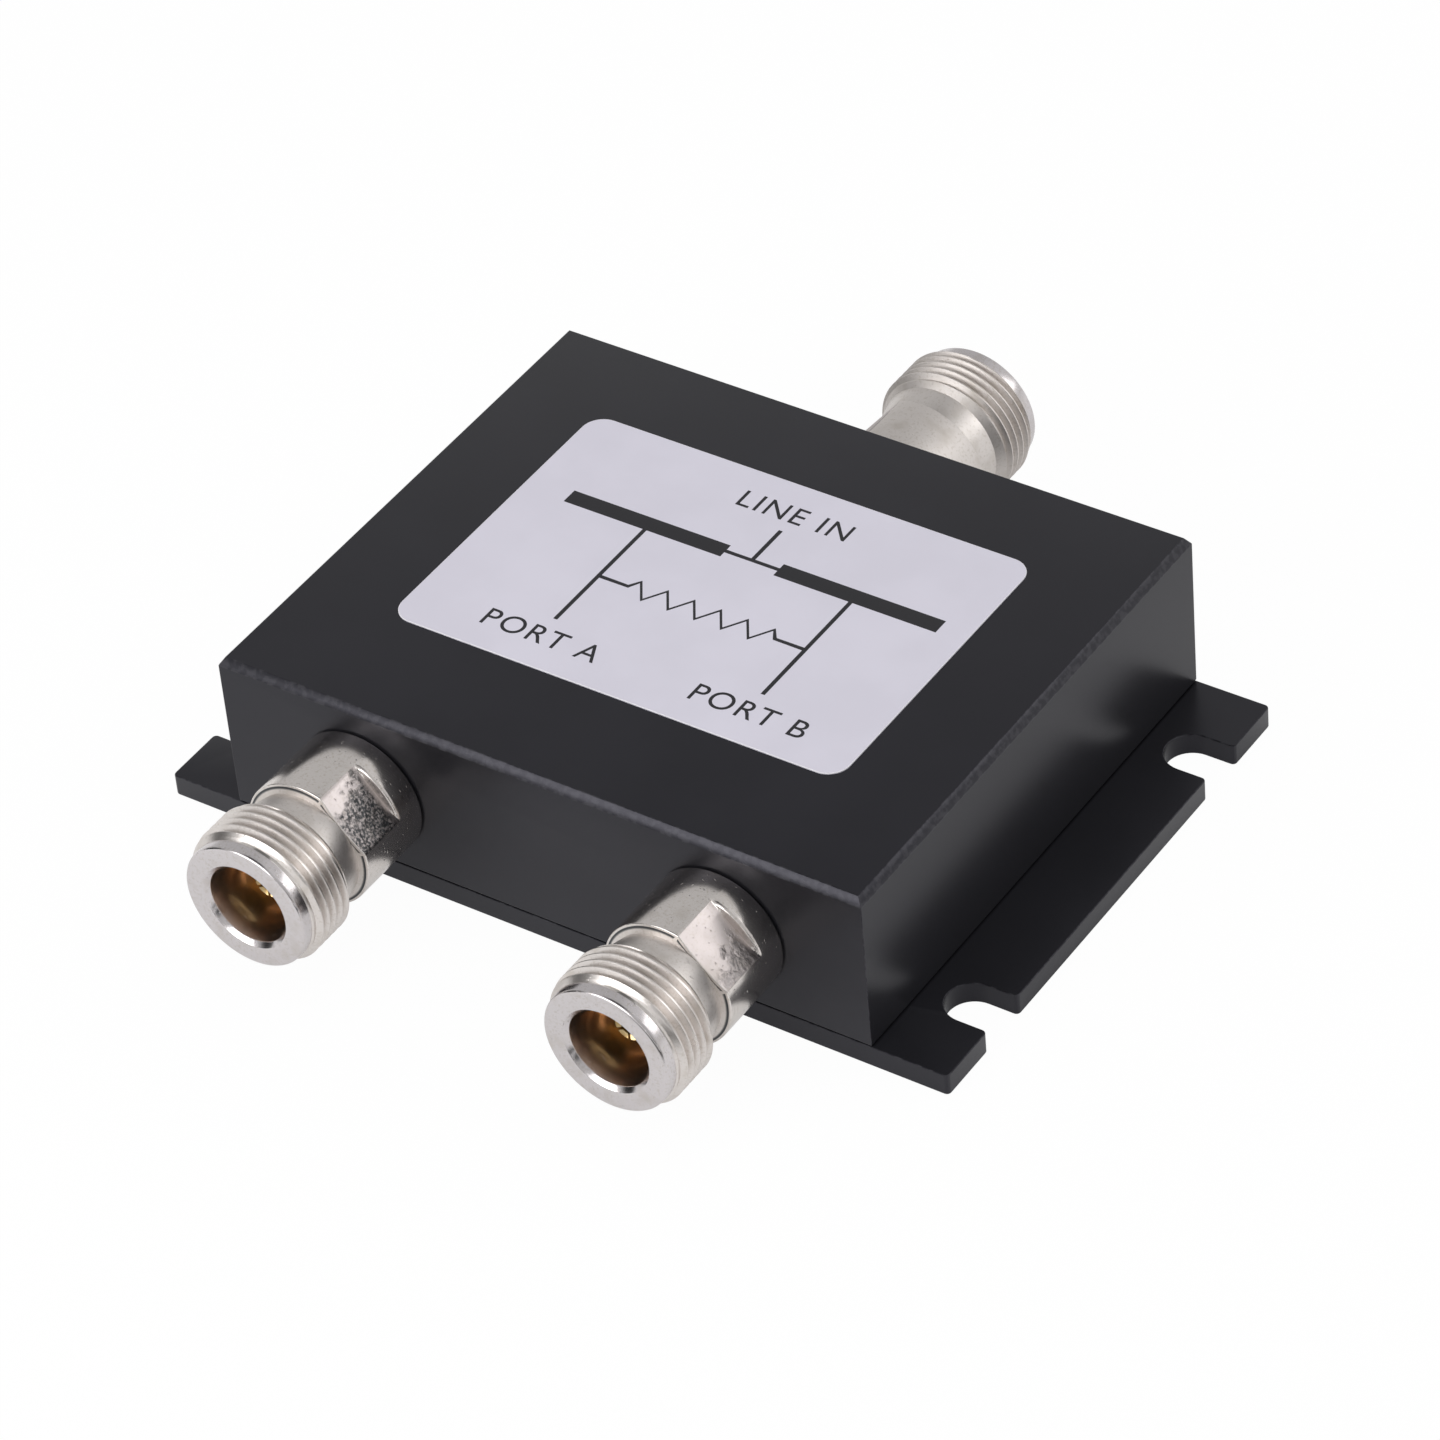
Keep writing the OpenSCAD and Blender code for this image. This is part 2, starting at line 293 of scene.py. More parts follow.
@dataclass(frozen=True)
class SatinBlack(Finish):
    """Satin black coat on machined metal, rubbed a little along its edges; those edges and the top bevel
    are also painted lighter as highlight.
    """

    # Lighter colour of the eased edges and the top bevel: rubbed coat, and painted highlight.
    worn_and_highlight: Colour = display(96, 95, 99)
    sheen: Colour = (0.88, 0.86, 1.0)
    ior: float = 1.44
    grain: float = 0.3 * MM
    grain_depth: float = 0.0004 * MM
    cloud: float = 14 * MM
    chip: float = 0.7 * MM
    wear_and_highlight: float = 0.2

    def sockets(self, graph: Graph) -> dict[str, object]:
        """Grain, faint clouds, and lighter edges that are rubbed coat and painted highlight.

        Args:
            graph: Tree of the finish's material.

        Returns:
            Values and links of the surface shader's inputs.
        """
        where = graph.place()
        grain = graph.noise(where, self.grain)
        cloud = graph.noise(where, self.cloud, 3.0)
        # Ragged mask of the eased edges and top bevel: rubbed coat and painted highlight.
        wear_and_highlight = graph.attribute("edge") * graph.noise(where, self.chip, 3.0).rise(0.42, 0.62)
        coat = graph.blend(cloud.rise(0.3, 0.7), self.shade(0.85), self.shade(1.15))
        return {
            "Base Color": graph.blend(wear_and_highlight * self.wear_and_highlight, coat, self.worn_and_highlight),
            "Roughness": self.roughness + (grain - 0.5) * 0.06 + (cloud - 0.5) * 0.03,
            "IOR": self.ior,
            "Specular Tint": self.sheen,
            "Normal": graph.bump(grain, self.grain_depth),
        }


@dataclass(frozen=True)
class TurnedPlating(Finish):
    """Plating on turned metal, with tool lines, nicks, faint stains, pits on the wrench flats, and
    painted light and shade by place.
    """

    line: float = 0.16 * MM
    line_depth: float = 0.0012 * MM
    stain: Colour = display(176, 166, 150)
    # Dark colour of the pits, and of the painted shade line at the bar's front.
    pits_and_shade: Colour = display(80, 82, 84)
    # Lighter copy of the tint for the body behind the rim and for the inner bore: painted light and
    # reflection.
    deep: Colour = display(223, 217, 213)
    # Colour of the milled flats: a warmer tone of their own, made darker as painted shade.
    milled_and_shaded: Colour = display(206, 197, 195)
    blotch: float = 2.2 * MM
    rag: float = 1.1 * MM
    pit: float = 0.7 * MM
    pit_depth: float = 0.1 * MM
    nick: float = 0.4 * MM
    grit: float = 0.3 * MM
    satin: float = 0.22
    patch_edge: Span = (0.9, 1.12)
    patch_end: Span = (1.0, 0.86)

    def sockets(self, graph: Graph) -> dict[str, object]:
        """Tool lines, nicks, stains, a patch of pits at the far corner of each flat, and painted light
        and shade.

        Args:
            graph: Tree of the finish's material.

        Returns:
            Values and links of the surface shader's inputs.
        """
        where = graph.place()
        flat = graph.attribute("flat")
        milled_and_shaded = flat.rise(0.0, 0.1)
        lines = graph.lines(graph.attribute("run"), self.line) * (1.0 - milled_and_shaded)
        stain = graph.noise(where, self.blotch, 4.0)
        along = graph.attribute("along")
        ragged = (graph.noise(where, self.rag, 4.0) - 0.5) * 0.9
        reach = graph.attribute("across") * 0.7 + along * 0.3 + flat * 0.8 + ragged
        dull = milled_and_shaded * reach.rise(*self.patch_edge) * along.rise(*self.patch_end)
        pits = graph.noise(where, self.pit, 3.0) * dull
        speckle = graph.noise(where, 0.4 * self.pit, 2.0).rise(0.3, 0.6)
        nicks = graph.noise(where, self.nick, 1.0).rise(0.7, 0.78) * 0.2
        # A thin band at the bar's front edge is painted dark: painted shade line.
        seam = graph.attribute("seam").rise(0.55, 0.85)
        # Lighter copy of the plating where the light-share mark is 1: painted light on the body, painted
        # reflection deeper in the bore.
        turned = graph.blend(graph.attribute("light_share"), self.tint, self.deep)
        painted_light_plating = graph.blend(milled_and_shaded, turned, self.milled_and_shaded)
        grit = graph.noise(where, self.grit, 3.0).rise(0.5, 0.72) * 0.3
        stained_lit_plating = graph.blend((stain.rise(0.5, 0.8) * 0.35).larger(grit), painted_light_plating, self.stain)
        shine = self.roughness + (stain - 0.5) * 0.12 + milled_and_shaded * 0.12 + dull * 0.05
        # The painted shade line and the pits of the flats take the same dark colour.
        dark = seam.larger(dull * speckle * (flat - 0.2) * 1.6)
        relief = lines * (self.line_depth / self.pit_depth) + pits + nicks
        return {
            "Base Color": graph.blend(dark, stained_lit_plating, self.pits_and_shade),
            "Metallic": 1.0,
            "Roughness": shine + graph.attribute("satin") * self.satin,
            "Normal": graph.bump(relief, self.pit_depth),
        }


@dataclass(frozen=True)
class BrightPlating(Finish):
    """Smooth bright plating with fine drawn lines along Y and a soft change of tone."""

    deep: Colour = display(150, 104, 40)
    line: float = 0.12 * MM
    line_depth: float = 0.001 * MM
    patch: float = 1.3 * MM

    def sockets(self, graph: Graph) -> dict[str, object]:
        """Drawn lines and tone.

        Args:
            graph: Tree of the finish's material.

        Returns:
            Values and links of the surface shader's inputs.
        """
        where = graph.place()
        along = graph.node("ShaderNodeSeparateXYZ", values={"Vector": where}, output="Y")
        lines = graph.lines(along, self.line)
        tone = graph.noise(where, self.patch, 3.0)
        return {
            "Base Color": graph.blend(tone.rise(0.4, 0.7) * 0.5, self.tint, self.deep),
            "Metallic": 1.0,
            "Roughness": self.roughness + (lines - 0.5) * 0.08,
            "Normal": graph.bump(lines, self.line_depth),
        }


@dataclass(frozen=True)
class WaxyPlastic(Finish):
    """Waxy insulating plastic, faintly mottled and turned."""

    mottle: float = 0.8 * MM
    mottle_depth: float = 0.004 * MM

    def sockets(self, graph: Graph) -> dict[str, object]:
        """Mottled colour and fine turning marks.

        Args:
            graph: Tree of the finish's material.

        Returns:
            Values and links of the surface shader's inputs.
        """
        where = graph.place()
        mottle = graph.noise(where, self.mottle, 4.0)
        return {
            "Base Color": graph.blend(mottle.rise(0.35, 0.7), self.tint, self.shade(0.9)),
            "Roughness": self.roughness + (mottle - 0.5) * 0.2,
            "Normal": graph.bump(mottle, self.mottle_depth),
        }


@dataclass(frozen=True)
class LabelFoil(Finish):
    """Pale satin foil with a bright cut edge: its pale core, and painted highlight."""

    cut: Colour = display(238, 236, 240)
    cloud: float = 9 * MM
    fibre: float = 0.35 * MM
    fibre_depth: float = 0.0006 * MM

    def sockets(self, graph: Graph) -> dict[str, object]:
        """Faint clouds, fine fibre, and the cut edge in a lighter colour: pale core and painted
        highlight.

        Args:
            graph: Tree of the finish's material.

        Returns:
            Values and links of the surface shader's inputs.
        """
        where = graph.place()
        cloud = graph.noise(where, self.cloud, 3.0)
        fibre = graph.noise(where, self.fibre, 3.0)
        face = graph.blend(cloud.rise(0.3, 0.7), self.shade(0.975), self.shade(1.02))
        return {
            # The eased cut edge is painted lighter: pale core of the foil and painted highlight.
            "Base Color": graph.blend(graph.attribute("edge"), face, self.cut),
            "Roughness": self.roughness + (fibre - 0.5) * 0.1,
            "Normal": graph.bump(fibre, self.fibre_depth),
        }


@dataclass(frozen=True)
class PrintInk(Finish):
    """Black print, a little thinner in places."""

    speck: float = 0.18 * MM

    def sockets(self, graph: Graph) -> dict[str, object]:
        """Speckled density.

        Args:
            graph: Tree of the finish's material.

        Returns:
            Values and links of the surface shader's inputs.
        """
        where = graph.place()
        speck = graph.noise(where, self.speck, 2.0)
        return {
            "Base Color": graph.blend(speck.rise(0.55, 0.85), self.tint, self.shade(2.2)),
            "Roughness": self.roughness + (speck - 0.5) * 0.15,
        }


@dataclass(frozen=True)
class PlatedSteel(Finish):
    """Zinc-plated steel with drawn streaks and dull patches."""

    dull: Colour = display(150, 150, 146)
    patch: float = 0.9 * MM
    streak: float = 0.12 * MM
    streak_depth: float = 0.002 * MM

    def sockets(self, graph: Graph) -> dict[str, object]:
        """Streaks and dull patches.

        Args:
            graph: Tree of the finish's material.

        Returns:
            Values and links of the surface shader's inputs.
        """
        where = graph.place()
        patch = graph.noise(where, self.patch, 4.0)
        streak = graph.noise(where, self.streak, 2.0, (1.0, 1.0, 0.2))
        return {
            "Base Color": graph.blend(patch.rise(0.45, 0.7), self.tint, self.dull),
            "Metallic": 1.0,
            "Roughness": self.roughness + (patch - 0.5) * 0.25,
            "Normal": graph.bump(streak, self.streak_depth),
        }


@dataclass(frozen=True)
class WovenLaminate(Finish):
    """Bare circuit laminate whose glass weave shows through."""

    weave: float = 0.9 * MM
    weave_depth: float = 0.006 * MM

    def sockets(self, graph: Graph) -> dict[str, object]:
        """Weave along X and Y under a satin resin.

        Args:
            graph: Tree of the finish's material.

        Returns:
            Values and links of the surface shader's inputs.
        """
        where = graph.place()
        warp = graph.noise(where, self.weave, 1.0, (4.0, 0.6, 1.0))
        weft = graph.noise(where, self.weave, 1.0, (0.6, 4.0, 1.0))
        cloth = warp.larger(weft)
        return {
            "Base Color": graph.blend(cloth.rise(0.45, 0.75), self.shade(0.9), self.shade(1.08)),
            "Roughness": self.roughness + (cloth - 0.5) * 0.15,
            "Normal": graph.bump(cloth, self.weave_depth),
        }


@dataclass(frozen=True)
class EtchedCopper(Finish):
    """Rolled and etched copper with a first tarnish."""

    tarnish: Colour = display(148, 88, 58)
    cloud: float = 3 * MM
    roll: float = 0.2 * MM
    roll_depth: float = 0.002 * MM

    def sockets(self, graph: Graph) -> dict[str, object]:
        """Rolling lines and tarnish.

        Args:
            graph: Tree of the finish's material.

        Returns:
            Values and links of the surface shader's inputs.
        """
        where = graph.place()
        cloud = graph.noise(where, self.cloud, 4.0)
        rolled = graph.noise(where, self.roll, 2.0, (1.0, 0.1, 1.0))
        return {
            "Base Color": graph.blend(cloud.rise(0.45, 0.7), self.tint, self.tarnish),
            "Metallic": 1.0,
            "Roughness": self.roughness + (cloud - 0.5) * 0.2,
            "Normal": graph.bump(rolled, self.roll_depth),
        }


@dataclass(frozen=True)
class FiredGlaze(Finish):
    """Black glaze between the tinned ends of a chip resistor, which lies along X."""

    tinned: Colour = display(190, 190, 188)
    glaze_half: float = 1.1 * MM
    glaze_edge: float = 0.05 * MM
    speck: float = 0.15 * MM
    speck_depth: float = 0.003 * MM

    def sockets(self, graph: Graph) -> dict[str, object]:
        """Glaze in the middle and tin at the two ends.

        Args:
            graph: Tree of the finish's material.

        Returns:
            Values and links of the surface shader's inputs.
        """
        where = graph.place()
        across = graph.node("ShaderNodeSeparateXYZ", values={"Vector": where}, output="X")
        end = across.math("ABSOLUTE").rise(self.glaze_half, self.glaze_half + self.glaze_edge)
        speck = graph.noise(where, self.speck, 3.0)
        glaze = graph.blend(speck.rise(0.4, 0.7), self.tint, self.shade(1.6))
        return {
            "Base Color": graph.blend(end, glaze, self.tinned),
            "Metallic": end,
            "Roughness": self.roughness + (speck - 0.5) * 0.2,
            "Normal": graph.bump(speck, self.speck_depth),
        }


@dataclass(frozen=True)
class CastSolder(Finish):
    """Bright solder with a frosted skin in patches."""

    frost: float = 0.5 * MM
    lump_depth: float = 0.02 * MM

    def sockets(self, graph: Graph) -> dict[str, object]:
        """Frost and flow lumps.

        Args:
            graph: Tree of the finish's material.

        Returns:
            Values and links of the surface shader's inputs.
        """
        where = graph.place()
        frost = graph.noise(where, self.frost, 4.0)
        return {
            "Base Color": graph.blend(frost.rise(0.4, 0.7), self.tint, self.shade(0.8)),
            "Metallic": 1.0,
            "Roughness": self.roughness + (frost - 0.4) * 0.3,
            "Normal": graph.bump(frost, self.lump_depth),
        }


FINISHES: dict[str, Finish] = {
    "black_finish": SatinBlack("satin_black", display(21, 21, 24), 0.3),
    "label_foil": LabelFoil("label_foil", display(211, 208, 220), 0.42),
    "ink": PrintInk("print_ink", display(24, 23, 28), 0.5),
    "nickel": TurnedPlating("turned_nickel", display(211, 206, 207), 0.2),
    # The bore runs from a grey tone at the mouth to a light warm one deeper in: painted reflection.
    "bore": TurnedPlating("bronze_bore", display(198, 187, 181), 0.21, stain=display(200, 170, 138),
                          deep=display(244, 217, 187)),
    "gold": BrightPlating("gold_plating", display(255, 240, 188), 0.16, deep=display(234, 200, 126)),
    "bead_white": WaxyPlastic("waxy_bead", display(236, 232, 224), 0.4),
    "laminate": WovenLaminate("woven_laminate", display(214, 206, 184), 0.5),
    "copper": EtchedCopper("etched_copper", display(220, 150, 110), 0.3),
    "resistor": FiredGlaze("fired_glaze", display(40, 40, 42), 0.25),
    "solder": CastSolder("cast_solder", display(200, 202, 204), 0.22),
    "screw_steel": PlatedSteel("plated_steel", display(188, 188, 186), 0.3),
}


class SubAssembly:
    """Work that the sub-assemblies share."""

    def copy_of(self, node: str) -> bmesh.types.BMesh:
        """Copy a solid as a closed shape with whole faces.

        Args:
            node: Name of the solid.

        Returns:
            Its merged mesh, with flat neighbours joined.
        """
        shape = bmesh.new()
        shape.from_mesh(frame["nodes"][node].data)
        bmesh.ops.remove_doubles(shape, verts=shape.verts[:], dist=WELD)
        bmesh.ops.dissolve_limit(shape, angle_limit=math.radians(FLAT_ANGLE), verts=shape.verts[:],
                                 edges=shape.edges[:])
        return shape

    def ease(self, shape: bmesh.types.BMesh, edges: list[bmesh.types.BMEdge], width: float,
             segments: int) -> None:
        """Round edges and mark the new faces as edges of the piece.

        Args:
            shape: Mesh that holds the edges.
            edges: Edges to round.
            width: Width of the rounding, measured on each face.
            segments: Faces across the rounding.
        """
        mark = shape.faces.layers.float.get("edge") or shape.faces.layers.float.new("edge")
        eased = bmesh.ops.bevel(shape, geom=edges, offset=width, offset_type="OFFSET", segments=segments,
                                profile=0.5, affect="EDGES", clamp_overlap=True, material=-1)
        for face in eased["faces"]:
            face[mark] = 1.0

    def set_down(self, shape: bmesh.types.BMesh, name: str, materials: list[bpy.types.Material],
                 slot: str, replaced: str | None = None,
                 crease: Crease = Crease.MILLED) -> bpy.types.Object:
        """Turn a finished shape into a piece that rides on the part.

        Args:
            shape: Finished shape, in the part's frame. It is freed.
            name: Name of the piece.
            materials: Its materials, in the order of its faces' numbers.
            slot: The record's material slot of the piece; not used.
            replaced: Solid that it stands for, if any.
            crease: How sharp an edge has to be to stay sharp.

        Returns:
            The piece.
        """
        mesh = bpy.data.meshes.new(name)
        open_edges = sum(not edge.is_manifold for edge in shape.edges)
        shape.to_mesh(mesh)
        shape.free()
        for material in materials:
            mesh.materials.append(material)
        mesh.polygons.foreach_set("use_smooth", [True] * len(mesh.polygons))
        mesh.set_sharp_from_angle(angle=math.radians(crease.value))
        piece = bpy.data.objects.new(name, mesh)
        bpy.context.scene.collection.objects.link(piece)
        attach(piece, BODY)
        if replaced:
            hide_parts(replaced)
        LOG.info("%s: %d faces, %d open edges", name, len(mesh.polygons), open_edges)
        return piece


@dataclass
class Housing(SubAssembly):
    """Milled box with a bevelled top, its outer edges eased."""

    materials: dict[str, bpy.types.Material]
    edge_width: float = 0.07 * MM
    top_bevel: float = 0.6 * MM
    bevel_highlight: float = 0.8
    lip_w: float = 0.6 * MM
    lip_h: float = 0.18 * MM
    bevel_tilt: Span = (0.3, 0.95)
    least_edge: float = 1.0 * MM
    least_angle: float = 0.2

    def is_outer(self, edge: bmesh.types.BMEdge) -> bool:
        """Tell whether an edge is one of the box's own outer edges.

        Args:
            edge: Edge of the copied solid.

        Returns:
            True for a long convex edge whose ends lie at the outside of the plan.
        """
        _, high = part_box("housing")
        reach = [max(high.x - abs(v.co.x), 0) < self.top_bevel + MERGE or
                 max(high.y - abs(v.co.y), 0) < self.top_bevel + MERGE for v in edge.verts]
        if not all(reach) or len(edge.link_faces) != 2:
            return False
        long = edge.calc_length() > self.least_edge
        return edge.is_convex and long and edge.calc_face_angle() > self.least_angle

    def lift_lip(self, shape: bmesh.types.BMesh) -> None:
        """Raise the outer rim of the underside, which leaves a dark joint above the plate.

        Args:
            shape: Copy of the box.
        """
        low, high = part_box("housing")
        lowest = [f for f in shape.faces if f.calc_center_median().z < low.z + MERGE]
        under = [f for f in lowest if f.normal.z < -FACES_ALONG]
        bmesh.ops.inset_region(shape, faces=under, thickness=self.lip_w, use_boundary=True,
                               use_even_offset=True)
        for vert in shape.verts:
            outside = high.x - abs(vert.co.x) < MERGE or high.y - abs(vert.co.y) < MERGE
            if outside and vert.co.z < low.z + MERGE:
                vert.co.z += self.lip_h
        shape.normal_update()

    def build(self) -> None:
        """Make the eased box in place of the solid."""
        shape = self.copy_of("housing")
        self.lift_lip(shape)
        self.ease(shape, [e for e in shape.edges if self.is_outer(e)], self.edge_width, 2)
        mark = shape.faces.layers.float["edge"]
        # The top bevel's slanted faces take most of the edge mark, so the black coat paints them lighter:
        # painted highlight.
        for face in shape.faces:
            if self.bevel_tilt[0] < face.normal.z < self.bevel_tilt[1]:
                face[mark] = max(face[mark], self.bevel_highlight)
        coat = [self.materials["black_finish"]]
        self.set_down(shape, "housing_shell", coat, "black_finish", "housing")


@dataclass
class BasePlate(SubAssembly):
    """Flanged plate with open slots, its corners rounded and its rim eased."""

    materials: dict[str, bpy.types.Material]
    corner_width: float = 0.5 * MM
    edge_width: float = 0.1 * MM
    rim_angle: float = 0.5
    corner_angle: float = 1.0

    def build(self) -> None:
        """Make the eased plate in place of the solid."""
        _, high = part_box("base_plate")
        shape = self.copy_of("base_plate")
        corners = [e for e in shape.edges if self.is_corner(e)]
        self.ease(shape, corners, self.corner_width, 4)
        _, box_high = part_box("housing")
        rim = []
        for edge in shape.edges:
            if len(edge.link_faces) != 2 or not edge.is_convex or edge.calc_face_angle() < self.rim_angle:
                continue
            middle = (edge.verts[0].co + edge.verts[1].co) / 2
            level = all(abs(v.co.z - middle.z) < MERGE for v in edge.verts)
            outside = abs(middle.x) > box_high.x or high.y - abs(middle.y) < MERGE
            if level and outside:
                rim.append(edge)
        self.ease(shape, rim, self.edge_width, 2)
        # Only the slanted faces of the eased rim keep the edge mark, which paints them lighter: rubbed
        # coat and painted highlight.
        mark = shape.faces.layers.float["edge"]
        for face in shape.faces:
            if not 1 - FACES_ALONG <= abs(face.normal.z) <= FACES_ALONG:
                face[mark] = 0.0
        coat = [self.materials["black_finish"]]
        self.set_down(shape, "base_plate_shell", coat, "black_finish", "base_plate")

    def is_corner(self, edge: bmesh.types.BMEdge) -> bool:
        """Tell whether an edge is an upright outer corner of the plate or of a slot."""
        closed = (edge.verts[0].co - edge.verts[1].co).xy.length < MERGE and len(edge.link_faces) == 2
        return closed and edge.is_convex and edge.calc_face_angle() > self.corner_angle


@dataclass
class CoaxSocket(SubAssembly):
    """Turned socket body with two wrench flats and a cut thread."""

    prefix: str
    facing: Facing
    flat_angle: float
    pitting: float
    bar_satin: float
    materials: dict[str, bpy.types.Material]
    spigot_r: float = 5.9 * MM
    bar_r: float = 7.3 * MM
    bar_l: float = 9.4 * MM
    flat_half: float = 6.35 * MM
    flat_start: float = 3.7 * MM
    flat_slope: float = 0.12 * MM
    flat_edge: float = 0.1 * MM
    step_round: float = 0.4 * MM
    front_round: float = 0.14 * MM
    seam_w: float = 0.16 * MM
    bar_lead: float = 0.25 * MM
    throat_r: float = 6.3 * MM
    neck_r: float = 6.9 * MM
    land_r: float = 7.2 * MM
    rim_bevel: float = 0.35 * MM
    mouth_r: float = 4.5 * MM
    mouth_bevel: float = 0.5 * MM
    mouth_l: float = 3.0 * MM
    socket_r: float = 4.05 * MM
    socket_l: float = 9.1 * MM
    line_r: float = 3.5 * MM
    bead_r: float = 4.0 * MM
    bead_front: float = 6.0 * MM
    wall_groove: float = 0.25 * MM
    corner: float = 0.07 * MM
    pitch: float = 25.4 / 24 * MM
    thread_depth: float = 0.62 * MM
    seam: float = 0.08 * MM
    thread_form: tuple[float, ...] = (0.0, 0.25, 0.5625, 0.6875, 1.0)
    thread_satin: float = 0.45
    tone_start: float = 0.7
    tone_end: float = 1.7
    run_slope: float = 1.4
    least_angle: float = 0.25
    steps: int = 96

    def __post_init__(self) -> None:
        """Take the thread, the rim and the tail from the frame."""
        mount = next(m for m in frame["record"]["mounts"] if m["name"] == f"{self.prefix}_thread")
        low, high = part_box("housing")
        body_low, body_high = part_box(f"{self.prefix}_body")
        front = self.facing is Facing.FRONT
        wall_y = low.y if front else high.y
        middle = abs(mount["pos_m"][1] - wall_y)
        half = mount["dims"]["length_mm"] * MM / 2
        self.wall = Vector((mount["pos_m"][0], wall_y, mount["pos_m"][2]))
        self.thread_r = mount["dims"]["r_mm"] * MM
        self.rim_l = wall_y - body_low.y if front else body_high.y - wall_y
        self.tail_l = body_high.y - wall_y if front else wall_y - body_low.y
        self.thread_back = middle - half - (self.thread_r - self.neck_r)
        self.thread_front = middle + half + (self.thread_r - self.land_r)
        self.step_l = self.flat_start - self.flat_slope

    def profile(self) -> list[tuple[float, float, float]]:
        """Half section from the front of the thread round the mouth and the tail to its back.

        Returns:
            Radius, distance from the wall and rounding of each corner.
        """
        rim, seat = self.rim_l, self.rim_l - self.socket_l
        bar_front = self.quarter(self.bar_l, self.front_round)
        return [
            (self.land_r, self.thread_front + self.seam, 0),
            *((self.land_r - sink, along, 0) for along, sink in self.quarter(rim, self.rim_bevel)),
            (self.mouth_r + self.mouth_bevel, rim, self.corner),
            (self.mouth_r, rim - self.mouth_bevel, self.corner),
            (self.socket_r, rim - self.mouth_l, 0),
            (self.socket_r, rim - self.tone_end * self.mouth_l, 0),
            (self.socket_r, seat, 0),
            (self.line_r, seat, self.corner),
            (self.line_r, self.bead_front, 0),
            (self.bead_r, self.bead_front, 0),
            (self.bead_r, -self.tail_l, 0),
            (self.spigot_r, -self.tail_l, self.corner),
            (self.spigot_r, 0, 0),
            (self.bar_r - self.wall_groove, 0, 0),
            (self.bar_r, self.wall_groove, self.corner),
            *((self.bar_r, along, 0) for along, _ in self.quarter(self.step_l, self.step_round)),
            (self.bar_r, self.flat_start, 0),
            *((self.bar_r - sink, along, 0) for along, sink in bar_front),
            (self.bar_r - self.front_round - self.seam_w, self.bar_l + 0.2 * self.bar_lead, 0),
            (self.throat_r, self.bar_l + self.bar_lead, 0),
            (self.neck_r, self.thread_back - self.seam, 0),
        ]

    def quarter(self, end: float, radius: float) -> list[tuple[float, float]]:
        """Quarter round that runs from the bar's surface into a plane across its axis.

        Args:
            end: Distance of that plane from the wall.
            radius: Radius of the round.

        Returns:
            Distance from the wall and sink below the bar's surface of each point.
        """
        turns = [math.pi / 8 * i for i in range(5)]
        return [(end - radius * (1 - math.sin(turn)), radius * (1 - math.cos(turn))) for turn in turns]

    def turn_body(self) -> bmesh.types.BMesh:
        """Turn the body round Z, without its thread.

        Returns:
            The lathed shape, open where the thread goes.
        """
        shape = bmesh.new()
        points = self.profile()
        verts = [shape.verts.new((radius, 0, along)) for radius, along, _ in points]
        for first, second in zip(verts, verts[1:]):
            shape.edges.new((first, second))
        rounded = [vert for vert, point in zip(verts, points) if point[2]]
        bmesh.ops.bevel(shape, geom=rounded, offset=self.corner, offset_type="OFFSET", segments=3,
                        profile=0.5, affect="VERTICES", clamp_overlap=True, material=-1)
        bmesh.ops.spin(shape, geom=shape.verts[:] + shape.edges[:], cent=(0, 0, 0), axis=(0, 0, 1),
                       angle=math.tau, steps=self.steps, use_merge=True)
        return shape

    def mill_flats(self, shape: bmesh.types.BMesh) -> None:
        """Press the bar's surface down to its two wrench flats, which start at a rounded step, and mark
        the bar's front band for a painted shade line.

        Args:
            shape: The lathed body.
        """
        middle = math.radians(self.flat_angle)
        half = math.acos(self.flat_half / self.bar_r)
        for angle in (middle - half, middle + half):
            geom = shape.verts[:] + shape.edges[:] + shape.faces[:]
            bmesh.ops.bisect_plane(shape, geom=geom, dist=MERGE, plane_co=(0, 0, 0),
                                   plane_no=(-math.sin(angle), math.cos(angle), 0))
        drop = self.bar_lead / (self.bar_r - self.throat_r)
        front = self.bar_l + 0.9 * self.bar_lead
        # Mark of the thin band at the bar's front that is painted dark as shade.
        shade_line_mark = shape.verts.layers.float.new("seam")
        for vert in shape.verts:
            radius, along = vert.co.xy.length, vert.co.z
            height = radius * abs(math.cos(math.atan2(vert.co.y, vert.co.x) - middle))
            sunk = self.bar_r - radius
            level = self.flat_half - sunk
            on_bar = self.step_l - self.step_round < along < front
            if not on_bar or sunk > self.front_round + self.seam_w + MERGE:
                continue
            vert[shade_line_mark] = float(along > self.bar_l + MERGE)
            if height < level:
                continue
            if along < self.step_l + MERGE:
                run = min(along - self.step_l + self.step_round, self.step_round)
                fall = self.step_round - math.sqrt(self.step_round ** 2 - run ** 2)
                level = max(height - fall, level)
            vert.co.xy *= level / height
            if along > self.bar_l - self.front_round - MERGE:
                vert.co.z = min(along + drop * (radius - vert.co.xy.length), front)
        shape.normal_update()
        edges = [e for e in shape.edges if self.is_flat_edge(e)]
        bmesh.ops.bevel(shape, geom=edges, offset=self.flat_edge, offset_type="OFFSET", segments=2,
                        profile=0.5, affect="EDGES", clamp_overlap=True, material=-1)

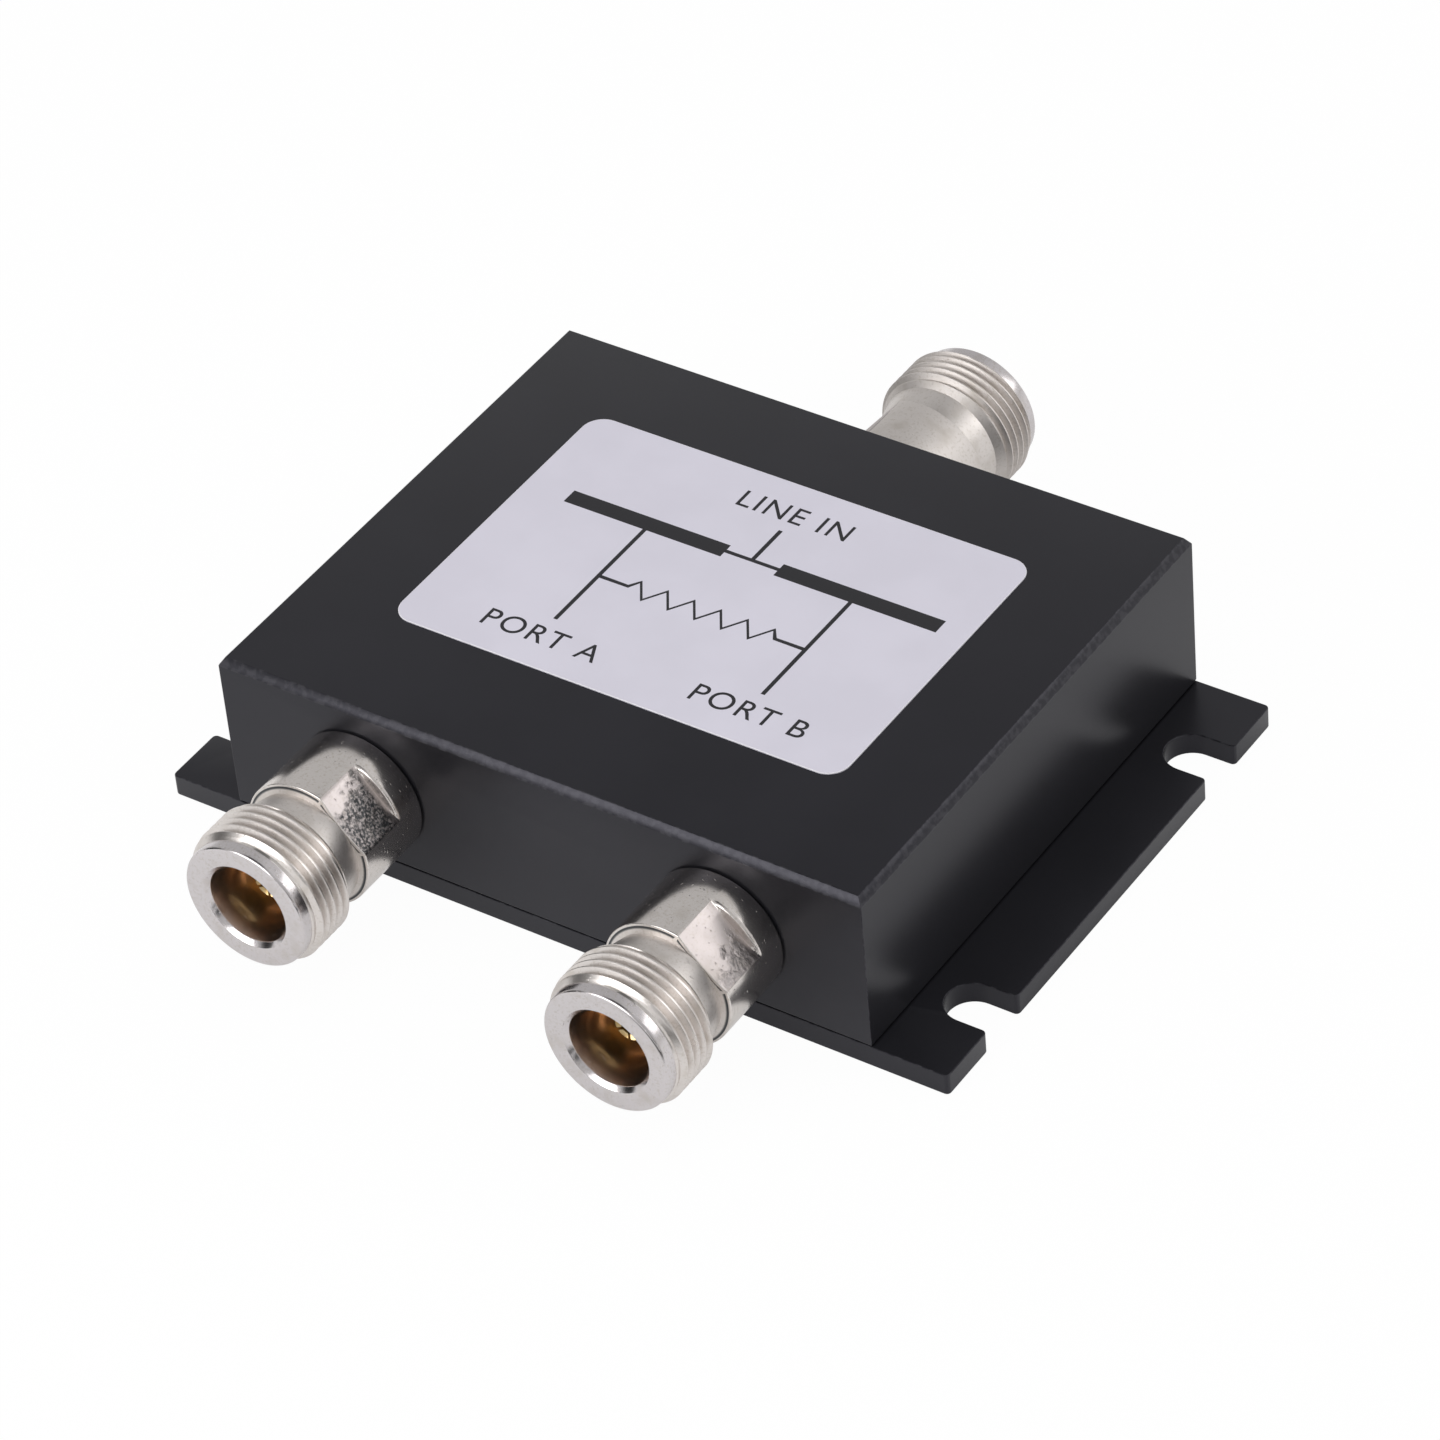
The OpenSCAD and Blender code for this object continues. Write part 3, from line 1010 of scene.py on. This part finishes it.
    def is_flat_edge(self, edge: bmesh.types.BMEdge) -> bool:
        """Tell whether an edge is one of the long edges between a flat and the bar.

        Args:
            edge: Edge of the body once its flats are cut.

        Returns:
            True for an edge along the axis that lies on the bar's surface and turns a corner.
        """
        first, second = (v.co for v in edge.verts)
        end = self.bar_l + self.bar_lead
        on_flat = all(self.flat_start - MERGE < co.z < end for co in (first, second))
        upright = (first - second).xy.length < MERGE < abs(first.z - second.z)
        on_bar = first.xy.length > self.bar_r - MERGE
        return on_flat and upright and on_bar and edge.calc_face_angle() > self.least_angle

    def cut_thread(self) -> bmesh.types.BMesh:
        """Wind the thread's section up round Z, between bevels of 45 degrees.

        Returns:
            The thread's surface, open at its two round ends.
        """
        thread = bmesh.new()
        root = self.thread_r - self.thread_depth
        section = zip((root, root, self.thread_r, self.thread_r, root), self.thread_form)
        start = self.thread_back - 1.5 * self.pitch
        verts = [thread.verts.new((radius, 0, start + share * self.pitch)) for radius, share in section]
        edges = [thread.edges.new(pair) for pair in zip(verts, verts[1:])]
        bmesh.ops.subdivide_edges(thread, edges=[edges[1], edges[3]], cuts=3)
        turns = math.ceil((self.thread_front - start) / self.pitch)
        bmesh.ops.spin(thread, geom=thread.verts[:] + thread.edges[:], cent=(0, 0, 0), axis=(0, 0, 1),
                       dvec=(0, 0, self.pitch / self.steps), angle=math.tau * turns,
                       steps=self.steps * turns)
        bmesh.ops.remove_doubles(thread, verts=thread.verts[:], dist=WELD)
        for level, side in ((self.thread_back, -1), (self.thread_front, 1)):
            geom = thread.verts[:] + thread.edges[:] + thread.faces[:]
            bmesh.ops.bisect_plane(thread, geom=geom, dist=MERGE, plane_co=(0, 0, level),
                                   plane_no=(0, 0, side), clear_outer=True)
        for vert in thread.verts:
            radius = vert.co.xy.length
            most = min(self.neck_r + vert.co.z - self.thread_back,
                       self.land_r + self.thread_front - vert.co.z)
            if radius > most:
                vert.co.xy *= most / radius
        return thread

    def join_thread(self, shape: bmesh.types.BMesh) -> None:
        """Sew the thread into the open body.

        Args:
            shape: The body, which becomes closed.
        """
        thread = self.cut_thread()
        holder = bpy.data.meshes.new("thread")
        thread.to_mesh(holder)
        thread.free()
        shape.from_mesh(holder)
        bpy.data.meshes.remove(holder)
        middle = (self.thread_back + self.thread_front) / 2
        open_edges = [e for e in shape.edges if e.is_boundary]
        for back in (True, False):
            loops = [e for e in open_edges if (e.verts[0].co.z < middle) == back]
            bmesh.ops.bridge_loops(shape, edges=loops)
        bmesh.ops.recalc_face_normals(shape, faces=shape.faces[:])

    def mark_surfaces(self, shape: bmesh.types.BMesh) -> None:
        """Note the flats, the duller neck and thread, the turned run, the bore and the share of the
        lighter painted colour on the shape.

        Args:
            shape: The closed body, still along Z.
        """
        flat_mark = shape.faces.layers.float.new("flat")
        satin_mark = shape.faces.layers.float.new("satin")
        names = ("run", "along", "across", "light_share")
        run_mark, along_mark, across_mark, light_share_mark = (shape.verts.layers.float.new(n) for n in names)
        middle = math.radians(self.flat_angle)
        outward = Vector((math.cos(middle), math.sin(middle), 0))
        hand = 1 if self.facing is Facing.FRONT else -1
        sideways = Vector((math.sin(middle), -math.cos(middle), 0)) * hand
        flat_l = self.bar_l - self.flat_start
        flat_w = 2 * math.sqrt(self.bar_r ** 2 - self.flat_half ** 2)
        for face in shape.faces:
            centre = face.calc_center_median()
            radius = centre.xy.length
            outside = radius > self.bar_r / 2
            on_bar = self.flat_start < centre.z < self.bar_l and outside
            on_flat = on_bar and abs(face.normal.dot(outward)) > FACES_ALONG
            face[flat_mark] = self.pitting if on_flat else 0.0
            on_neck = self.bar_l < centre.z < self.thread_back and outside
            on_thread = self.thread_back <= centre.z < self.thread_front and radius > self.neck_r
            if on_neck:
                face[satin_mark] = 1.0
            elif on_thread:
                face[satin_mark] = max(self.thread_satin, self.bar_satin)
            elif centre.z < self.bar_l:
                face[satin_mark] = self.bar_satin
            in_mouth = self.bead_front < centre.z < self.rim_l - self.mouth_bevel
            face.material_index = int(in_mouth and radius < self.mouth_r + self.corner)
        for vert in shape.verts:
            vert[run_mark] = self.run_slope * vert.co.xy.length + vert.co.z
            vert[along_mark] = (self.bar_l - vert.co.z) / flat_l
            vert[across_mark] = 0.5 + vert.co.dot(sideways) / flat_w
            # Share of the lighter painted colour: 1 behind the thread's front outside, rising with depth
            # into the bore.
            if vert.co.xy.length > self.mouth_r + self.mouth_bevel + MERGE:
                vert[light_share_mark] = float(vert.co.z < self.thread_front + MERGE)
            else:
                light_share = (self.rim_l - vert.co.z) / self.mouth_l - self.tone_start
                vert[light_share_mark] = min(max(light_share, 0.0), 1.0)

    def build(self) -> None:
        """Make the body in place of its solid."""
        shape = self.turn_body()
        self.mill_flats(shape)
        self.join_thread(shape)
        self.mark_surfaces(shape)
        place = (Matrix.Translation(self.wall) @ Matrix.Rotation(self.facing.value, 4, "Z")
                 @ Matrix.Rotation(math.pi / 2, 4, "X"))
        bmesh.ops.transform(shape, matrix=place, verts=shape.verts[:])
        node = f"{self.prefix}_body"
        plating = [self.materials["nickel"], self.materials["bore"]]
        self.set_down(shape, f"{node}_turned", plating, "nickel", node, Crease.TURNED)


@dataclass
class Label(SubAssembly):
    """Foil label with port marks and a simple diagram of a line that divides."""

    materials: dict[str, bpy.types.Material]
    corner_r: float = 2.4 * MM
    edge_width: float = 0.06 * MM
    ink_t: float = 0.02 * MM
    mark_h: float = 2.7 * MM
    mark_spacing: float = 1.12
    capital_share: float = 0.73
    stroke: float = 0.24 * MM
    broad_stroke: float = 1.0 * MM
    middle_x: float = 1.0 * MM
    input_y: float = 15 * MM
    output_y: float = -13.1 * MM
    output_x: Span = (-11.2 * MM, 13.6 * MM)

    def __post_init__(self) -> None:
        """Take the label's place from the frame."""
        self.low, self.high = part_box("label")

    def build_foil(self) -> None:
        """Make the foil with round corners and an eased cut edge."""
        size = self.high - self.low
        shape = bmesh.new()
        bmesh.ops.create_grid(shape, x_segments=1, y_segments=1, size=0.5)
        bmesh.ops.scale(shape, vec=(size.x, size.y, 1), verts=shape.verts[:])
        bmesh.ops.bevel(shape, geom=shape.verts[:], offset=self.corner_r, offset_type="OFFSET",
                        segments=10, profile=0.5, affect="VERTICES", clamp_overlap=True, material=-1)
        raised = bmesh.ops.extrude_face_region(shape, geom=shape.faces[:])
        top = [item for item in raised["geom"] if isinstance(item, bmesh.types.BMVert)]
        bmesh.ops.translate(shape, vec=(0, 0, size.z), verts=top)
        bmesh.ops.recalc_face_normals(shape, faces=shape.faces[:])
        rim = [e for e in shape.edges if all(v.co.z > size.z / 2 for v in e.verts)]
        self.ease(shape, rim, self.edge_width, 2)
        middle = (self.low + self.high) / 2
        bmesh.ops.translate(shape, vec=(middle.x, middle.y, self.low.z), verts=shape.verts[:])
        self.set_down(shape, "label_sheet", [self.materials["label_foil"]], "label_foil", "label")

    def print_curve(self, curve: bpy.types.Curve, name: str, place: Vector, thickness: float) -> None:
        """Turn a flat curve or a text into a film of ink on the foil.

        Args:
            curve: Curve data, drawn about its own origin.
            name: Name of the piece.
            place: Where the curve's origin goes on the foil.
            thickness: Height of the curve's own mesh, which is pressed to the ink's.
        """
        holder = bpy.data.objects.new(name, curve)
        bpy.context.scene.collection.objects.link(holder)
        seen = holder.evaluated_get(bpy.context.evaluated_depsgraph_get())
        film = bpy.data.meshes.new_from_object(seen)
        bpy.data.objects.remove(holder)
        shape = bmesh.new()
        shape.from_mesh(film)
        bpy.data.meshes.remove(film)
        bmesh.ops.remove_doubles(shape, verts=shape.verts[:], dist=WELD)
        bmesh.ops.recalc_face_normals(shape, faces=shape.faces[:])
        bmesh.ops.scale(shape, vec=(1, 1, self.ink_t / thickness), verts=shape.verts[:])
        bmesh.ops.translate(shape, vec=place, verts=shape.verts[:])
        self.set_down(shape, name, [self.materials["ink"]], "black_finish")

    def print_mark(self, words: str, name: str, x: float, y: float) -> None:
        """Print a port's mark.

        Args:
            words: The mark.
            name: Name of the piece.
            x: Middle of the mark along X.
            y: Middle of the mark along Y.
        """
        curve = bpy.data.curves.new(name, "FONT")
        curve.body = words
        curve.size = self.mark_h / self.capital_share
        curve.align_x = "CENTER"
        curve.align_y = "CENTER"
        curve.space_character = self.mark_spacing
        curve.extrude = self.ink_t / 2
        self.print_curve(curve, name, Vector((x, y, self.high.z)), self.ink_t)

    def print_lines(self, name: str, half_width: float, lines: list[list[tuple[float, float]]]) -> None:
        """Print lines of one width.

        Args:
            name: Name of the piece.
            half_width: Half the width of the lines.
            lines: Corners of each line, in millimetres from the middle of the print.
        """
        curve = bpy.data.curves.new(name, "CURVE")
        curve.dimensions = "3D"
        curve.bevel_depth = half_width
        curve.bevel_resolution = 2
        curve.use_fill_caps = True
        for corners in lines:
            spline = curve.splines.new("POLY")
            spline.points.add(len(corners) - 1)
            for point, (x, y) in zip(spline.points, corners):
                point.co = (x * MM, y * MM, 0, 1)
        self.print_curve(curve, name, Vector((self.middle_x, 0, self.high.z)), 2 * half_width)

    def print_diagram(self) -> None:
        """Print the diagram: a line in, two broad arms, a resistor and two lines out."""
        arm, top, bridge, foot = 12.4, 7.0, -2.4, -10.2
        entry, stub, inner, outer = 12.4, 4, 3.2, 22.4
        teeth, tooth, wave = 11, 1.6, 1.2
        half = teeth * tooth / 2
        zigzag = [(tooth * (i + 0.5) - half, bridge + wave * (-1) ** i) for i in range(teeth)]
        resistor = [(-arm, bridge), (-half, bridge), *zigzag, (half, bridge), (arm, bridge)]
        ways = [[(0, entry), (0, top)], [(-stub, top), (stub, top)]]
        outs = [[(side * arm, top), (side * arm, foot)] for side in (-1, 1)]
        arms = [[(side * inner, top), (side * outer, top)] for side in (-1, 1)]
        self.print_lines("label_diagram_lines", self.stroke, [*ways, *outs, resistor])
        self.print_lines("label_diagram_arms", self.broad_stroke, arms)

    def build(self) -> None:
        """Make the foil and its print."""
        self.build_foil()
        self.print_mark("LINE IN", "label_mark_input", self.middle_x, self.input_y)
        self.print_mark("PORT A", "label_mark_output_1", self.output_x[0], self.output_y)
        self.print_mark("PORT B", "label_mark_output_2", self.output_x[1], self.output_y)
        self.print_diagram()


@dataclass
class KeptSolids(SubAssembly):
    """Solids whose shape already is right, which only get their finish."""

    materials: dict[str, bpy.types.Material]

    def dress(self) -> None:
        """Give each shown solid the material of its slot in the record."""
        for row in frame["record"]["subparts"]:
            node = frame["nodes"][row["node"]]
            if node.hide_render:
                continue
            for slot in node.material_slots:
                slot.material = self.materials[row["material_slot"]]
            LOG.info("%s: kept, in %s", row["node"], row["material_slot"])


@dataclass
class Softbox:
    """Square or oblong lamp that faces a point of the object."""

    name: str
    place: Triple
    width: float
    height: float
    radiance: float
    mirrored: bool = True
    aim: Triple = (0.0, 0.0, 0.01)

    def hang(self) -> None:
        """Add the lamp to the scene."""
        lamp = bpy.data.lights.new(self.name, "AREA")
        lamp.shape = "RECTANGLE"
        lamp.size, lamp.size_y = self.width, self.height
        lamp.energy = self.radiance * math.pi * self.width * self.height
        holder = bpy.data.objects.new(self.name, lamp)
        holder.location = self.place
        beam = Vector(self.aim) - Vector(self.place)
        holder.rotation_euler = beam.to_track_quat("-Z", "Y").to_euler()
        holder.visible_camera = False
        holder.visible_glossy = self.mirrored
        bpy.context.scene.collection.objects.link(holder)
        LOG.info("%s: lamp of %.2f W", self.name, lamp.energy)


@dataclass
class Studio:
    """Pale floor, white surroundings, soft lamps and the camera."""

    floor_half: float = 3.0
    floor_gap: float = 0.05 * MM
    floor_white: Colour = (0.9, 0.9, 0.9)
    seen_glow: float = 0.97
    mirrored_glow: float = 0.3
    near_glow: float = 0.25
    far_glow: float = 0.7
    fill: float = 0.55
    horizon: float = 0.75
    ceiling: float = 0.57
    zenith: float = 0.06
    wash: float = 0.15
    wash_aim: Triple = (0.65, 0.55, 0.51)
    wash_edge: Span = (0.6, 0.94)
    flags: tuple[tuple[Triple, float], ...] = (((0.7, -0.71, 0.0), 12.0), ((-0.92, -0.34, 0.2), 16.0))
    flag_edge: Span = (0.6, 1.4)
    ceiling_edge: Span = (-0.02, 0.18)
    zenith_edge: Span = (0.9, 0.985)
    band_side: Span = (0.0, 0.02)
    band_front: Span = (-0.15, -0.12)
    band_back: Span = (-0.068, -0.085)
    near_front: Span = (-0.042, -0.033)
    near_back: Span = (-0.022, -0.03)
    far_edge: Span = (0.16, 0.45)
    azimuth: float = 36.7014
    elevation: float = 39.9842
    roll: float = -5.4311
    distance: float = 0.66019
    shift: Span = (-0.000134, 0.004005)
    lens: float = 161.12
    sensor: float = 36.0

    def lay_floor(self) -> None:
        """Lay a floor that looks white, keeps a soft shadow and can be seen through from below."""
        shape = bmesh.new()
        bmesh.ops.create_grid(shape, x_segments=1, y_segments=1, size=self.floor_half)
        bmesh.ops.translate(shape, vec=(0, 0, -self.floor_gap), verts=shape.verts[:])
        mesh = bpy.data.meshes.new("floor")
        shape.to_mesh(mesh)
        shape.free()
        made = bpy.data.materials.new("pale_floor")
        made.use_nodes = True
        graph = Graph(made.node_tree)
        seen, mirrored = graph.rays(Ray.CAMERA), graph.rays(Ray.GLOSSY, Ray.TRANSMISSION)
        x = graph.node("ShaderNodeSeparateXYZ", values={"Vector": graph.place()}, output="X")
        y = x.sibling("Y")
        band = x.rise(*self.band_side) * y.rise(*self.band_front) * y.rise(*self.band_back) * mirrored
        matt = graph.node("ShaderNodeBsdfDiffuse", values={"Color": self.floor_white})
        glow = graph.node("ShaderNodeEmission", values={"Color": 1.0 - band, "Strength": 1.0})
        far = (x * x + y * y).math("SQRT").rise(*self.far_edge) * self.far_glow
        near = y.rise(*self.near_front) * y.rise(*self.near_back) * self.near_glow
        share = seen * self.seen_glow + mirrored * (far + near + self.mirrored_glow)
        share = share + band * (1.0 - self.mirrored_glow)
        top = graph.node("ShaderNodeMixShader", values={0: share, 1: matt, 2: glow})
        below = graph.node("ShaderNodeNewGeometry", output="Backfacing")
        clear = graph.node("ShaderNodeBsdfTransparent")
        both = graph.node("ShaderNodeMixShader", values={0: below, 1: top, 2: clear})
        graph.node("ShaderNodeOutputMaterial", values={"Surface": both})
        mesh.materials.append(made)
        floor = bpy.data.objects.new("floor", mesh)
        bpy.context.scene.collection.objects.link(floor)

    def surround(self) -> None:
        """Set the surroundings: white where seen, and mirrored with a grey ceiling and dark flags."""
        world = bpy.data.worlds.new("studio")
        world.use_nodes = True
        bpy.context.scene.world = world
        graph = Graph(world.node_tree)
        ray = graph.node("ShaderNodeTexCoord", output="Generated")
        height = graph.node("ShaderNodeSeparateXYZ", values={"Vector": ray}, output="Z")
        backdrop = self.horizon - height.rise(*self.ceiling_edge) * (self.horizon - self.ceiling)
        backdrop = backdrop * (1.0 - height.rise(*self.zenith_edge) * (1.0 - self.zenith))
        backdrop = backdrop + graph.towards(ray, self.wash_aim).rise(*self.wash_edge) * self.wash
        for aim, half_angle in self.flags:
            edge = [math.cos(share * math.radians(half_angle)) for share in self.flag_edge]
            backdrop = backdrop * graph.towards(ray, aim).rise(*edge)
        reflected = graph.rays(Ray.GLOSSY, Ray.TRANSMISSION)
        seen = graph.rays(Ray.CAMERA)
        level = (1.0 - reflected) * self.fill + reflected * backdrop
        level = (1.0 - seen) * level + seen
        sky = graph.node("ShaderNodeBackground", values={"Color": (1.0, 1.0, 1.0), "Strength": level})
        graph.node("ShaderNodeOutputWorld", values={"Surface": sky})

    def hang_lamps(self) -> None:
        """Hang the soft lamps: one in front, two as one at the back right and one overhead."""
        Softbox("front_softbox", (-0.11, -0.45, 0.26), 0.4, 0.26, 3.6).hang()
        Softbox("back_softbox", (0.33, 0.28, 0.26), 0.3, 0.2, 1.4).hang()
        Softbox("back_fill", (0.33, 0.28, 0.26), 0.3, 0.2, 0.6, mirrored=False).hang()
        Softbox("top_softbox", (0.0, 0.05, 0.7), 0.5, 0.5, 1.3, mirrored=False).hang()

    def set_camera(self) -> None:
        """Set the camera at the photograph's angle, distance and roll."""
        turn, lift, roll = (math.radians(a) for a in (self.azimuth, self.elevation, self.roll))
        out = math.cos(lift)
        back = Vector((math.sin(turn) * out, -math.cos(turn) * out, math.sin(lift)))
        level = Vector((math.cos(turn), math.sin(turn), 0))
        upright = back.cross(level)
        right = math.cos(roll) * level + math.sin(roll) * upright
        up = math.cos(roll) * upright - math.sin(roll) * level
        eye = self.distance * back + self.shift[0] * right + self.shift[1] * up
        lens = bpy.data.cameras.new("camera")
        lens.lens, lens.sensor_width = self.lens, self.sensor
        lens.clip_start = 0.01
        camera = bpy.data.objects.new("camera", lens)
        camera.matrix_world = Matrix.Translation(eye) @ Matrix((right, up, back)).transposed().to_4x4()
        bpy.context.scene.collection.objects.link(camera)
        bpy.context.scene.camera = camera

    def build(self) -> None:
        """Set up floor, surroundings, lamps, camera and view."""
        self.set_camera()
        self.lay_floor()
        self.surround()
        self.hang_lamps()
        bpy.context.scene.view_settings.view_transform = "Standard"


def main() -> None:
    """Build the studio and dress the part."""
    logging.basicConfig(level=logging.INFO, format="%(name)s: %(message)s")
    Studio().build()
    materials = {slot: finish.material() for slot, finish in FINISHES.items()}
    Housing(materials).build()
    BasePlate(materials).build()
    sockets = (
        ("input", Facing.BACK, 40.0, 0.5, 1.4),
        ("output_1", Facing.FRONT, 41.5, 0.8, 0.0),
        ("output_2", Facing.FRONT, 46.0, 0.42, 0.0),
    )
    for prefix, facing, flat_angle, pitting, bar_satin in sockets:
        CoaxSocket(prefix, facing, flat_angle, pitting, bar_satin, materials).build()
    Label(materials).build()
    KeptSolids(materials).dress()


if __name__ == "__main__":
    main()
